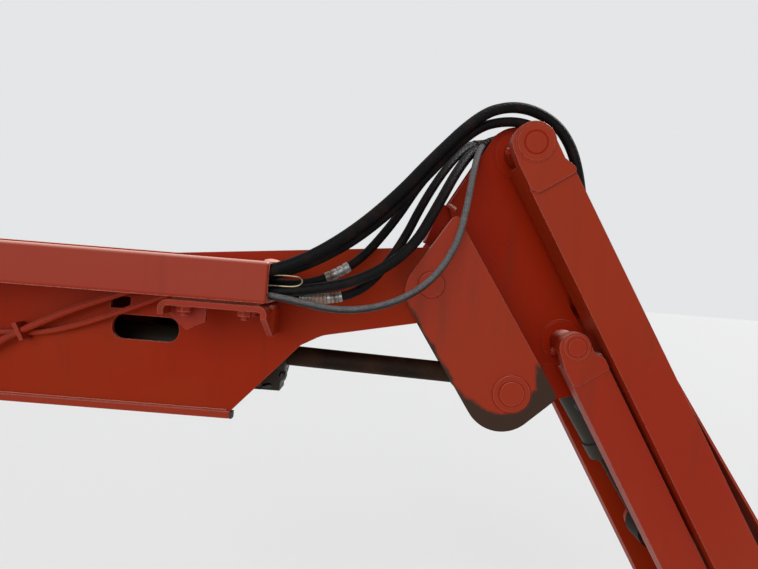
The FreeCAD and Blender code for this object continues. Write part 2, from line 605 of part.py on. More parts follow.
def hoses():
    """Every hose, trimmed flush with what it goes into. The feed hoses enter the square tube from below."""
    wall = -BOOM_WIDTH / 2
    floor = TUBE_TOP - TUBE_HIGH
    square_tube = block(TUBE_START, TUBE_END, wall - TUBE_DEEP, wall, floor, TUBE_TOP)
    half = BOX_OUT - BOX_PLATE
    knuckle_port = block(PORT_X, PORT_X + PORT_LONG, -half, half, PORT_Z - PORT_HALF, PORT_Z + PORT_HALF)
    save("knuckle_port_block", knuckle_port)
    for name, radius, points in ROUTES:
        print(name)
        hose = tube_along(points, radius)
        save(name, hose.cut(hose_bar() if name.startswith("hose_top") else knuckle_port))
    feeds = {}
    feed_ports = []
    for name, radius, from_side in FEED_ROUTES:
        print(name)
        points = [(x, wall + y, z) for x, y, z in from_side]
        feeds[name] = (radius, points)
        x, y, z = points[0]
        rim = radius + FEED_PORT_RIM
        feed_ports.append(block(x - FEED_PORT_LONG, x, y - rim, wall, z - rim, z + rim))
        save(name, tube_along(points, radius).cut(feed_ports[-1]).cut(square_tube))
    save("feed_hose_clamp", feed_clamp(feeds))
    save("feed_hose_ports", *feed_ports)


def cylinder(base, eye, barrel_r, barrel_end, rod_r, shortens, base_pin_r, base_half, port_block, name):
    """A barrel with its base eye and gland, and a rod with its own eye."""
    start = vec(base[0], 0, base[1])
    axis = vec(eye[0], 0, eye[1]) - start
    length = axis.Length
    axis.normalize()
    barrel = Part.makeCylinder(barrel_r, barrel_end, start + axis * 8, axis)
    gland = Part.makeCylinder(barrel_r + 3, 30, start + axis * (barrel_end - 22), axis)
    if port_block:
        x = base[0] + barrel_end - 22
        top = base[1] - 11
        barrel = barrel.fuse(block(x - PORT_BLOCK_LONG / 2, x + PORT_BLOCK_LONG / 2,
                                   -PORT_BLOCK_HALF, PORT_BLOCK_HALF, top - PORT_BLOCK_LOW, top))
    bore = Part.makeCylinder(rod_r + 0.4, barrel_end, start + axis * BORE_START, axis)
    barrel = barrel.fuse(gland).cut(bore)
    barrel = barrel.fuse(bar(base[0], base[1], base_pin_r + 14, -base_half, base_half))
    barrel = barrel.cut(bar(base[0], base[1], base_pin_r + PIN_GAP, -base_half - 1, base_half + 1))
    save(name + "_barrel", barrel.removeSplitter())
    inner_end = BORE_START + shortens + 4
    rod = Part.makeCylinder(rod_r, length - rod_r - inner_end, start + axis * inner_end, axis)
    rod = rod.fuse(bar(eye[0], eye[1], rod_r + 12, -EYE_HALF, EYE_HALF))
    save(name + "_rod", rod.removeSplitter())


def cylinders():
    cylinder((LEVEL_BASE_X, LEVEL_BASE_Z), LEVEL, LEVEL_BARREL_R, LEVEL_BARREL_END, LEVEL_ROD_R,
             LEVEL_SHORTENS, LEVEL_BASE_PIN_R, BASE_EYE_HALF, True, "level")
    cylinder(LIFT, ROD_EYE, LIFT_BARREL_R, LIFT_BARREL_END, LIFT_ROD_R, LIFT_SHORTENS, LIFT_PIN_R,
             BASE_EYE_HALF, False, "lift")


def platform_bracket():
    front = UPPER_END[0] + FACE_AHEAD
    back = front - FACE_PLATE
    side = [
        (UPPER_END[0] - 44, UPPER_END[1] - 30, 40),
        (UPPER_END[0] - 44, UPPER_END[1] + 44, 40),
        (UPPER_END[0] + 60, UPPER_END[1] + 44, 30),
        (back, UPPER_END[1] - 30),
        (back, LOWER_END[1] - 30),
        (LOWER_END[0] - 10, LOWER_END[1] - 40, 20),
        (LOWER_END[0] - 42, LOWER_END[1] - 20, 36),
        (LOWER_END[0] - 42, LOWER_END[1] + 30, 30),
    ]
    cheek = plate(side, BOX_OUT - BOX_PLATE, BOX_OUT)
    ends = ((UPPER_END, UPPER_PIN_R, UPPER_RIM_R - 2), (LOWER_END, LOWER_PIN_R, LOWER_RIM_R - 2))
    for end, pin, rim in ends:
        cheek = cheek.fuse(bar(end[0], end[1], rim, BOX_OUT - 1, BOSS_OUT))
        cheek = cheek.cut(bar(end[0], end[1], pin, 0, BOSS_OUT + 1))
    save("platform_side_plates", *pair(cheek))
    middle = (UPPER_END[1] + LOWER_END[1]) / 2 - FACE_DROP
    face = block(back, front, -FACE_WIDTH / 2, FACE_WIDTH / 2,
                 middle - FACE_HEIGHT / 2, middle + FACE_HEIGHT / 2)
    for y in (-FACE_BOLTS_Y / 2, FACE_BOLTS_Y / 2):
        for z in (-FACE_BOLTS_Z / 2, FACE_BOLTS_Z / 2):
            spot = vec(back - 1, y, middle + z)
            face = face.cut(Part.makeCylinder(FACE_BOLT_R, FACE_PLATE + 2, spot, vec(1, 0, 0)))
    save("platform_face_plate", face)
    reach = UPPER_OUT + UPPER_DOUBLER + HUB_PROUD
    save("upper_end_pin", bar(UPPER_END[0], UPPER_END[1], UPPER_PIN_R, -reach, reach))
    save("lower_end_pins", *pair(bar(LOWER_END[0], LOWER_END[1], LOWER_PIN_R, BOX_OUT - BOX_PLATE,
                                     LOWER_OUT + HUB_PROUD + 1)))


boom()
hose_tube()
knuckle()
jib()
cylinders()
platform_bracket()
hoses()
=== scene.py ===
# %% [markdown]
# # A boom tip with its knuckle, jib arms and hoses
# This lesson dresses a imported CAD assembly: the tip of a telescopic boom, the knuckle
# that levels the jib, four jib arms, two hydraulic cylinders and a bundle of hoses.
# The steel pieces keep their CAD shapes and get weathered paint. The hoses, their
# fittings, the weld beads and the small bolts are modelled here, because they are what
# the eye looks for on such a machine and what a CAD model leaves plain.
# Everything is in metres, in the frame of the CAD model.

# %% Load the fixed frame
import json
import math

import bpy
from mathutils import Matrix, Vector


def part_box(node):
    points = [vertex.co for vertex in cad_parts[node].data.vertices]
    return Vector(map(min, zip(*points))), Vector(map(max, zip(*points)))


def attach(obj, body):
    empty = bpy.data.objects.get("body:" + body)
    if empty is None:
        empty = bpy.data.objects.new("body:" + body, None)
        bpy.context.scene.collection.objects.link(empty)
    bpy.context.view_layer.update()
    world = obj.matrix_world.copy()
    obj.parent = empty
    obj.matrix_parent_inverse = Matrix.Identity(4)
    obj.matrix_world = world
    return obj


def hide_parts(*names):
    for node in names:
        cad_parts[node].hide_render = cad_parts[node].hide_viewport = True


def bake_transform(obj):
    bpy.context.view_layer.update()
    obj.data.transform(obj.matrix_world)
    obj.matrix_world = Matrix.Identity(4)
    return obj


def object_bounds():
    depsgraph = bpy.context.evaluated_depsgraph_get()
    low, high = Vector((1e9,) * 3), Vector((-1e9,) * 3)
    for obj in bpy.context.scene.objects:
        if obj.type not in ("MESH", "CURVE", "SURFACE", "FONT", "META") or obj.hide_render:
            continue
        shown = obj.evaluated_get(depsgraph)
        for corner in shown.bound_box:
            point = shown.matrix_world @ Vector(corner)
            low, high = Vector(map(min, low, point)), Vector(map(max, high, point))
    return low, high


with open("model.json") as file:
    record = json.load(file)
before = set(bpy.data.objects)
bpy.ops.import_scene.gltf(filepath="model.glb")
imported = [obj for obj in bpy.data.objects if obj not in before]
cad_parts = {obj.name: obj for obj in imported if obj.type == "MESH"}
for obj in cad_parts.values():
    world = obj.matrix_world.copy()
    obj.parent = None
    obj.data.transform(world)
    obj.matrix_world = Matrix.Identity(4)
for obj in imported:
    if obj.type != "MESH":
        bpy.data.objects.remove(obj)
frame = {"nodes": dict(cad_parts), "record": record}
CAD_LOW, CAD_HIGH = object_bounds()
print("CAD box", [round(v, 3) for v in (*CAD_LOW, *CAD_HIGH)])

# %% [markdown]
# ## Reference points
# The pins are the assembly's natural landmarks. Their centres could be typed in, but
# read from the frame they stay right when the CAD model changes. The drawing of this
# machine is made from the knuckle's pivot, in millimetres, and `drawn` turns such a
# drawing position into a place in the frame.

# %% Landmarks


def centre(node):
    low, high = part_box(node)
    return (low + high) / 2


PIVOT = centre("pivot_pin")
UPPER = centre("upper_arm_pin")
LOWER = centre("lower_arm_pins")
LEVEL = centre("level_rod_pins")
UPPER_END = centre("upper_end_pin")
LOWER_END = centre("lower_end_pins")


def drawn(x, y, z):
    """A place in the frame from millimetres measured off the knuckle's pivot."""
    return PIVOT + Vector((x, y, z)) / 1000


print("pivot", PIVOT, "upper pin", UPPER)

# %% [markdown]
# ## The camera
# The photograph was taken about a metre from the boom's side with a wide lens, turned
# slightly clockwise and tipped down by less than two degrees. Euler angles would mix
# those two turns, so the camera's axes are written down instead: right, up and back.
# The lens follows from the picture's width and its focal length in pixels.

# %% Camera
PICTURE_WIDTH = 758
FOCAL_PIXELS = 570.0
TIPPED_DOWN = math.radians(1.75)
ROLLED = math.radians(4.6)
CAMERA_AT = (-82.1, -1033, 21.1)

ahead = Vector((0, math.cos(TIPPED_DOWN), -math.sin(TIPPED_DOWN)))
level_up = Vector((0, math.sin(TIPPED_DOWN), math.cos(TIPPED_DOWN)))
level_right = Vector((1, 0, 0))
right = math.cos(ROLLED) * level_right + math.sin(ROLLED) * level_up
up = -math.sin(ROLLED) * level_right + math.cos(ROLLED) * level_up

camera_data = bpy.data.cameras.new("camera")
camera_data.sensor_width = 36
camera_data.lens = FOCAL_PIXELS / PICTURE_WIDTH * camera_data.sensor_width
camera = bpy.data.objects.new("camera", camera_data)
camera.matrix_world = Matrix((right, up, -ahead)).transposed().to_4x4()
camera.location = drawn(*CAMERA_AT)
bpy.context.scene.collection.objects.link(camera)
bpy.context.scene.camera = camera
print("lens", round(camera_data.lens, 2), "mm")

# %% [markdown]
# ## Shader maths as Python expressions
# A node tree could be wired up node by node, but it is easier to read as arithmetic.
# `Link` wraps one output of a node, and Python's operators on it add Math nodes.
# `NodeTree` is a tree under construction: its `add` method makes any node from its
# type, its settings and its inputs. `Finish` is the tree of one material.

# %% One output of a node


class Link:
    """One output of a shader node, on which + - * and ** add Math nodes."""

    def __init__(self, finish, socket):
        self.finish = finish
        self.socket = socket

    def maths(self, operation, *values):
        inputs = dict(enumerate(values))
        return self.finish.add("ShaderNodeMath", {"operation": operation}, inputs)

    def __add__(self, other):
        return self.maths("ADD", self, other)

    def __sub__(self, other):
        return self.maths("SUBTRACT", self, other)

    def __rsub__(self, other):
        return self.maths("SUBTRACT", other, self)

    def __mul__(self, other):
        return self.maths("MULTIPLY", self, other)

    def __pow__(self, other):
        return self.maths("POWER", self, other)

    def least(self, other):
        return self.maths("MINIMUM", self, other)

    def most(self, other):
        return self.maths("MAXIMUM", self, other)

    def wave(self):
        """A sine from -1 to 1 that repeats with every whole number."""
        return self.maths("SINE", self * (2 * math.pi))

    def ramp(self, low, high):
        """0 below low, 1 above high, smooth between. It falls where low is the larger."""
        settings = {"interpolation_type": "SMOOTHSTEP"}
        start, end = (0.0, 1.0) if low < high else (1.0, 0.0)
        inputs = {0: self, 1: min(low, high), 2: max(low, high), 3: start, 4: end}
        return self.finish.add("ShaderNodeMapRange", settings, inputs)

    __radd__ = __add__
    __rmul__ = __mul__


print("Link ready")

# %% A node tree under construction


class NodeTree:
    """The nodes of a material or of the world, being built."""

    def __init__(self, owner):
        owner.use_nodes = True
        self.owner = owner
        self.tree = owner.node_tree
        self.tree.nodes.clear()

    def add(self, kind, settings=None, inputs=None, output=0):
        node = self.tree.nodes.new(kind)
        for key, value in (settings or {}).items():
            setattr(node, key, value)
        for key, value in (inputs or {}).items():
            if isinstance(value, Link):
                self.tree.links.new(value.socket, node.inputs[key])
            else:
                node.inputs[key].default_value = value
        return Link(self, node.outputs[output])

    def outputs(self, link, *names):
        """Other outputs of the node that a link comes from."""
        return [Link(self, link.socket.node.outputs[name]) for name in names]

    def close(self, kind, shader):
        """Ends the tree with its output node."""
        end = self.tree.nodes.new(kind)
        self.tree.links.new(shader.socket, end.inputs["Surface"])
        return self.owner


class Finish(NodeTree):
    """A material being built."""

    def __init__(self, name):
        super().__init__(bpy.data.materials.new(name))
        self.place = self.add("ShaderNodeTexCoord", output="Object")

    def facing(self):
        """Which way the surface looks."""
        return self.add("ShaderNodeNewGeometry", output="Normal")

    def axes(self, vector):
        """The three parts of a vector."""
        return self.outputs(self.add("ShaderNodeSeparateXYZ", inputs={0: vector}), "X", "Y", "Z")

    def noise(self, scale, detail=3.0, stretch=None, rough=0.5):
        """Even cloudy noise from 0 to 1. stretch gives its scale along X, Y and Z."""
        place = self.place
        if stretch:
            mapped = {"Vector": place, "Scale": stretch}
            place = self.add("ShaderNodeMapping", {"vector_type": "POINT"}, mapped)
        inputs = {"Vector": place, "Scale": scale, "Detail": detail, "Roughness": rough}
        return self.add("ShaderNodeTexNoise", {"normalize": True}, inputs)

    def mix(self, share, first, second):
        """A colour between two, as (r, g, b) or links."""
        full = [(*c, 1.0) if isinstance(c, tuple) else c for c in (first, second)]
        inputs = {0: share, 6: full[0], 7: full[1]}
        return self.add("ShaderNodeMix", {"data_type": "RGBA"}, inputs, output=2)

    def bump(self, height, strength, distance, **more):
        inputs = {"Height": height, "Strength": strength, "Distance": distance, **more}
        return self.add("ShaderNodeBump", inputs=inputs)

    def surface(self, colour, **sockets):
        """Ends the material with one Principled shader."""
        inputs = {"Base Color": (*colour, 1.0) if isinstance(colour, tuple) else colour}
        inputs.update({name.replace("_", " "): value for name, value in sockets.items()})
        shader = self.add("ShaderNodeBsdfPrincipled", inputs=inputs)
        return self.close("ShaderNodeOutputMaterial", shader)


print("Finish ready")

# %% [markdown]
# ## Weathered orange paint
# The boom, the knuckle and the arms are one enamel that has stood in the sun for
# years. It has chalked to a pale pink on faces that look up, and that pale pink is also
# a painted highlight of the light from above. It has kept a deep red-orange on the
# sides in random patches, and the pieces in the shade between plates get more of that
# red as painted shade. It carries thin dirt that rain has drawn into upright streaks.
# One flat colour would look like plastic, and a painted texture would need unwrapped
# meshes, so the layers are worked out from noise and from the way each face looks. An
# orange-peel bump breaks up the reflections. A Bevel node compares the rounded normal
# with the flat one, which marks the plate edges, where the paint is thin and pale from
# wear and also carries a painted highlight.

# %% Paint material
PAINT = (0.272, 0.0215, 0.0030)
DEEP_RED_AND_SHADE = (0.27, 0.0115, 0.0006)
CHALK_AND_HIGHLIGHT = (0.74, 0.36, 0.29)
DIRT = (0.085, 0.022, 0.008)
GREASE = (0.021, 0.0145, 0.0085)
EDGE_ROUND = 0.0016
CHALK_HIGHLIGHT_SPREAD = 0.60
RAIN_STRETCH = (3.2, 3.2, 0.35)
PEEL_HEIGHT = 0.00035


def painted(name, grime=0.0, grease=None, dark_red_and_shade=0.0, shine=0.17, edge_wear_highlight=0.40, chalk_highlight=1.0, chalk_highlight_from=0.35):
    """Orange enamel.

    grime is dirt, grease a function that masks black grease, dark_red_and_shade the share
    of dark red, which paints shade, shine the gloss level, edge_wear_highlight the paleness
    of the edges from wear and as a painted highlight, chalk_highlight that of the faces
    that look up from chalk and as a painted highlight, and chalk_highlight_from how far a
    face has to look up before it turns pale.
    """
    paint = Finish(name)
    look = paint.facing()
    facing_up = paint.axes(look)[2]
    soft = paint.add("ShaderNodeBevel", {"samples": 4}, {"Radius": EDGE_ROUND})
    alike = paint.add("ShaderNodeVectorMath", {"operation": "DOT_PRODUCT"}, {0: soft, 1: look}, "Value")
    edge = (1 - alike).ramp(0.008, 0.10)

    clouds = paint.noise(4.5, detail=5)
    # The dark red varies at random, and the share given as an argument adds more of it as painted shade.
    colour = paint.mix((clouds.ramp(0.35, 0.68) * 0.6 + dark_red_and_shade).least(1.0), PAINT, DEEP_RED_AND_SHADE)
    speckle = paint.noise(170, detail=2)
    # Faces that look up turn pale: partly real chalked paint, partly a painted highlight of the light from
    # above.
    chalk_and_highlight = facing_up.ramp(chalk_highlight_from, chalk_highlight_from + CHALK_HIGHLIGHT_SPREAD) * (0.55 + clouds * 0.5) * chalk_highlight
    # The edges are pale from wear, and that paleness is also a painted highlight where light catches them.
    rubbed_and_highlit = edge * speckle.ramp(0.25, 0.50) * edge_wear_highlight
    colour = paint.mix(chalk_and_highlight.most(rubbed_and_highlit), colour, CHALK_AND_HIGHLIGHT)

    streaks = paint.noise(9, detail=6, stretch=RAIN_STRETCH)
    dirty = streaks.ramp(0.50, 0.80) * (0.25 + grime) + speckle.ramp(0.66, 0.76) * 0.35 * (0.3 + grime)
    colour = paint.mix(dirty.least(0.9), colour, DIRT)
    gloss = 0.36 + clouds * 0.16 + dirty * 0.25
    if grease:
        greasy = grease(paint)
        colour = paint.mix(greasy, colour, GREASE)
        gloss = gloss + greasy * 0.12
    peel = paint.noise(420, detail=2)
    waves = paint.noise(26, detail=2)
    relief = paint.bump(peel * 0.6 + waves * 3.0, 0.32, PEEL_HEIGHT, Normal=soft)
    return paint.surface(colour, Roughness=gloss, Normal=relief, Specular_IOR_Level=shine)


ORANGE = painted("orange_paint")
ORANGE_GRIMY = painted("orange_paint_grimy", grime=0.30, dark_red_and_shade=0.25, chalk_highlight=0.3)
# Darker red paint stands for the shade between the plates: painted shade.
ORANGE_SHADED = painted("orange_paint_shaded", grime=0.05, dark_red_and_shade=0.80, shine=0.06, edge_wear_highlight=0.15, chalk_highlight=0.6)
# This darker red is painted shade, for pieces that must not stand out from the shaded plates.
ORANGE_FLUSH_SHADED = painted("orange_paint_flush_shaded", grime=0.05, dark_red_and_shade=0.80, shine=0.06, edge_wear_highlight=0.0)
ORANGE_BOOM = painted("orange_paint_boom", grime=0.08, dark_red_and_shade=0.05, shine=0.06)
# Pale nearly all over: chalk with a painted highlight, for rounded tops in the sun.
ORANGE_CHALKED_HIGHLIT = painted("orange_paint_chalked_highlit", edge_wear_highlight=1.0, chalk_highlight=1.6, chalk_highlight_from=-0.05)
print("paint", ORANGE.name, ORANGE_GRIMY.name)

# %% [markdown]
# ## Grease along the knuckle's lower corner
# Grease from the levelling cylinder's pin creeps to the outer plates' lower edge and
# turns black with dust. It could be a decal, but then it would float over the plate.
# The mask is worked out like a drawing instead: the distance of each point from the
# plate's rear edge and from its lower edge, joined by the big rounded corner, and
# broken up with noise. The band fades out further up the plate, and the raised face
# round the pin stays clean.

# %% Greasy paint for the outer plates
PLATE_TOP = (31.6, 117.9)
PLATE_REAR = (-49.8, -11.3)
PLATE_LOW = (114.2, -254.5)
PLATE_FRONT = (213.5, -162.8)
CORNER_ROUND = 0.060
GREASE_EDGE = 0.003
GREASE_RAGGED = 0.018


def grease_band(paint):
    """1 near the plate's lower edges and 0 inside."""
    x, _, z = paint.axes(paint.place)
    across = x - PIVOT.x
    height = z - PIVOT.z

    def inside_of(start, end):
        """Distance from an edge line, counted into the plate."""
        a = drawn(start[0], 0, start[1])
        b = drawn(end[0], 0, end[1])
        run = (b - a).normalized()
        return (x - a.x) * -run.z + (z - a.z) * run.x

    rear = inside_of(PLATE_REAR, PLATE_LOW)
    low = inside_of(PLATE_LOW, PLATE_FRONT)
    front = inside_of(PLATE_FRONT, PLATE_TOP)
    short_rear = (CORNER_ROUND - rear).most(0.0)
    short_low = (CORNER_ROUND - low).most(0.0)
    depth = CORNER_ROUND - (short_rear ** 2 + short_low ** 2) ** 0.5
    ragged = (paint.noise(34, detail=6, rough=0.6) - 0.5) * GREASE_RAGGED
    low_wide = 0.003 + across.ramp(0.045, 0.125) * 0.028
    front_wide = 0.010 + (height + 0.118) * -0.35
    low_band = (low_wide - depth + ragged).ramp(-GREASE_EDGE, GREASE_EDGE)
    front_band = (front_wide - front + ragged).ramp(-GREASE_EDGE, GREASE_EDGE) * height.ramp(-0.106, -0.120)
    from_pin = ((x - LEVEL.x) ** 2 + (z - LEVEL.z) ** 2) ** 0.5
    return low_band.most(front_band) * from_pin.ramp(0.026, 0.034) * 0.95


ORANGE_GREASY = painted("orange_paint_greasy", grime=0.18, grease=grease_band)
print("greasy paint", ORANGE_GREASY.name)

# %% [markdown]
# ## Rubber
# The hoses are black rubber with a cloth-wrapped skin, browned by overspray, and one of
# them is grey all over with dust. Modelled threads would take far too many faces, so
# the wrap is a bump: two sets of waves that wind round the hose in opposite ways. They
# run along each hose, so they read the hose's own UV map.

# %% Hose material
RUBBER = (0.0042, 0.0040, 0.0044)
RUBBER_DUST = (0.16, 0.15, 0.15)
RUST_BROWN = (0.034, 0.014, 0.007)
BRAID_TURNS = 46
BRAID_THREADS = 8
BRAID_HEIGHT = 0.0006


def hose_rubber(name, dusty):
    """Hose with a braided skin. dusty is the share of the skin under pale dust."""
    rubber = Finish(name)
    facing_up = rubber.axes(rubber.facing())[2]
    along, around, _ = rubber.axes(rubber.add("ShaderNodeTexCoord", output="UV"))
    left_hand = (along * BRAID_TURNS + around * BRAID_THREADS).wave()
    right_hand = (along * BRAID_TURNS - around * BRAID_THREADS).wave()
    braid = left_hand.most(right_hand) * 0.5 + 0.5
    clouds = rubber.noise(34, detail=6)
    fine = rubber.noise(620, detail=2)
    blotch = rubber.noise(110, detail=4)
    colour = rubber.mix(clouds.ramp(0.47, 0.70) * 0.30, RUBBER, RUST_BROWN)
    settled = (facing_up + 0.6 * clouds).ramp(1.25 - 1.7 * dusty, 2.0 - 1.2 * dusty)
    dust = (settled * (0.06 + dusty) * (0.30 + blotch) * (0.55 + 0.6 * braid)).least(1.0)
    specks = fine.ramp(0.62, 0.72) * blotch.ramp(0.45, 0.62) * (0.02 + 0.6 * dusty)
    colour = rubber.mix(dust.most(specks), colour, RUBBER_DUST)
    relief = rubber.bump(braid * 0.8 + fine * 0.4 + blotch * 0.6, 0.5, BRAID_HEIGHT)
    gloss = 0.46 + dust * 0.35 + fine * 0.08
    return rubber.surface(colour, Roughness=gloss, Normal=relief, Specular_IOR_Level=0.06 + 0.28 * dusty)


HOSE_BLACK = hose_rubber("hose_black", 0.02)
HOSE_WORN = hose_rubber("hose_worn", 0.10)
HOSE_GREY = hose_rubber("hose_grey", 0.92)
print("rubber", HOSE_BLACK.name, HOSE_GREY.name)

# %% [markdown]
# ## Dark enamel, grease and steel
# The cylinders are black under a coat of oily dust, thick grease has settled on their
# glands, and the fittings are zinc-plated steel that has dulled. Pure black shows no
# form, so each gets brown clouds, fine dirt and a lumpy bump.

# %% Dark and metal materials
STEEL_STAIN = (0.10, 0.062, 0.040)


def oily_black(name, base, lumps, gloss, shine=0.5):
    """Black enamel or bare rod under old grease and dust."""
    oily = Finish(name)
    clouds = oily.noise(14, detail=6)
    fine = oily.noise(240, detail=3)
    colour = oily.mix(clouds.ramp(0.40, 0.72), base, RUST_BROWN)
    colour = oily.mix(fine.ramp(0.60, 0.74) * 0.35, colour, DIRT)
    relief = oily.bump(clouds * lumps + fine * 0.4, 0.6, 0.0012)
    return oily.surface(colour, Roughness=gloss + clouds * 0.3, Normal=relief, Specular_IOR_Level=shine)


def worn_steel(name, base, gloss):
    """Zinc-plated steel, dulled and spotted."""
    steel = Finish(name)
    clouds = steel.noise(60, detail=5)
    fine = steel.noise(700, detail=2)
    colour = steel.mix(clouds.ramp(0.42, 0.70), base, STEEL_STAIN)
    relief = steel.bump(fine * 0.4 + clouds, 0.35, 0.0003)
    return steel.surface(colour, Roughness=gloss + clouds * 0.22, Metallic=0.78, Normal=relief)


ROD = oily_black("greasy_rod", (0.010, 0.0042, 0.0016), 0.5, 0.50, shine=0.12)
GREASE_BLACK = oily_black("thick_grease", (0.0035, 0.0030, 0.0030), 1.2, 0.14)
BLACK_SLEEVE = oily_black("black_sleeve", (0.006, 0.0055, 0.0050), 0.3, 0.55, shine=0.10)
BARREL = oily_black("black_barrel", (0.021, 0.019, 0.012), 0.5, 0.40, shine=0.25)
SEAL = oily_black("rubber_seal", (0.011, 0.010, 0.010), 0.2, 0.55)
WIRE = worn_steel("yellow_wire", (0.52, 0.42, 0.26), 0.40)
RUSTY = worn_steel("rusty_nut", (0.27, 0.19, 0.15), 0.55)
STEEL = worn_steel("worn_steel", (0.30, 0.29, 0.28), 0.34)
print("cylinders, grease and steel ready")

# %% [markdown]
# ## Dressing the CAD pieces
# Each CAD node keeps its shape, and its material follows from what it is. Naming a
# material for every node would repeat what the record already says, so the record's
# slot decides, and only the other pieces are listed: grimy near the grease, darker red
# as painted shade between the plates, pale as chalk and painted highlight in the sun.

# %% Materials on the CAD nodes
BY_SLOT = {"orange_paint": ORANGE, "cylinder_rod": ROD, "cylinder_black": BARREL,
           "seal_rubber": SEAL, "hose_rubber": HOSE_BLACK}
OWN_STATE = (
    (ORANGE_GRIMY, ("lower_arm_pins", "upper_arm_pin", "hose_tube_bracket", "knuckle_port_block",
                    "jib_hose_bar", "feed_hose_ports", "feed_hose_clamp", "lower_tie_tube",
                    "jib_cross_tube", "jib_end_tube")),
    # Pieces between the plates get darker red as painted shade.
    (ORANGE_SHADED, ("knuckle_inner_plates", "knuckle_web", "knuckle_rear_web", "boom_nose_tube",
                   "boom_nose_under_plate")),
    (ORANGE_BOOM, ("boom_side_plates", "boom_top_plate", "boom_nose_top_plate", "lower_arm_far",
                   "upper_arm_far")),
    (ORANGE_GREASY, ("knuckle_outer_plates",)),
    # The lift pin's ends take the painted shade of the plates round them.
    (ORANGE_FLUSH_SHADED, ("lift_base_pin",)),
    # The square tube's rounded top edge is pale with chalk and a painted highlight.
    (ORANGE_CHALKED_HIGHLIT, ("hose_tube",)),
)
slots = {row["node"]: row["material_slot"] for row in frame["record"]["subparts"]}
own = {name: material for material, names in OWN_STATE for name in names}
for name, node in frame["nodes"].items():
    node.data.materials.clear()
    node.data.materials.append(own.get(name, BY_SLOT[slots[name]]))
print(len(frame["nodes"]), "nodes dressed,", len(own), "of them in a state of their own")

# %% [markdown]
# ## Rounded plate edges
# No steel edge is perfectly sharp: a square tube is bent with a radius, and a cut plate
# is ground. Rounded edges catch the light as thin bright lines. The CAD solids could
# have fillets, but those cost faces in every check, so the rounding is added here. The
# CAD meshes are loose triangles, so a Weld modifier joins them first, and a Bevel
# modifier then rounds only the edges that turn by more than a set angle.

# %% Weld and Bevel modifiers
ROUNDED = {"hose_tube": 4.8, "hose_tube_bracket": 1.6, "upper_arm_near": 2.4, "upper_arm_far": 2.4,
           "lower_arm_near": 2.4, "lower_arm_far": 2.4, "knuckle_outer_plates": 1.0, "boom_bottom_plate": 1.2}
EDGE_TURN = math.radians(40)
WELD_WITHIN = 0.00002

for name, radius in ROUNDED.items():
    node = frame["nodes"][name]
    weld = node.modifiers.new("join", "WELD")
    weld.merge_threshold = WELD_WITHIN
    bevel = node.modifiers.new("round", "BEVEL")
    bevel.width = radius / 1000
    bevel.segments = 3
    bevel.limit_method = "ANGLE"
    bevel.angle_limit = EDGE_TURN
    bevel.use_clamp_overlap = name != "hose_tube"
    bevel.harden_normals = True
print(len(ROUNDED), "nodes with rounded edges")

# %% [markdown]
# ## The hoses
# Eight lengths of hose cross the knuckle. Each is one smooth curve through listed
# points: straight out of the square tube, up over the boom's nose, and then
# either between the knuckle's plates or over the top pin and down the jib. A round
# bevel turns the curve into a tube. A simulated hose would hang more freely than these
# stiff ones do. Each becomes a mesh.
# Two thin painted hoses run below the square tube.

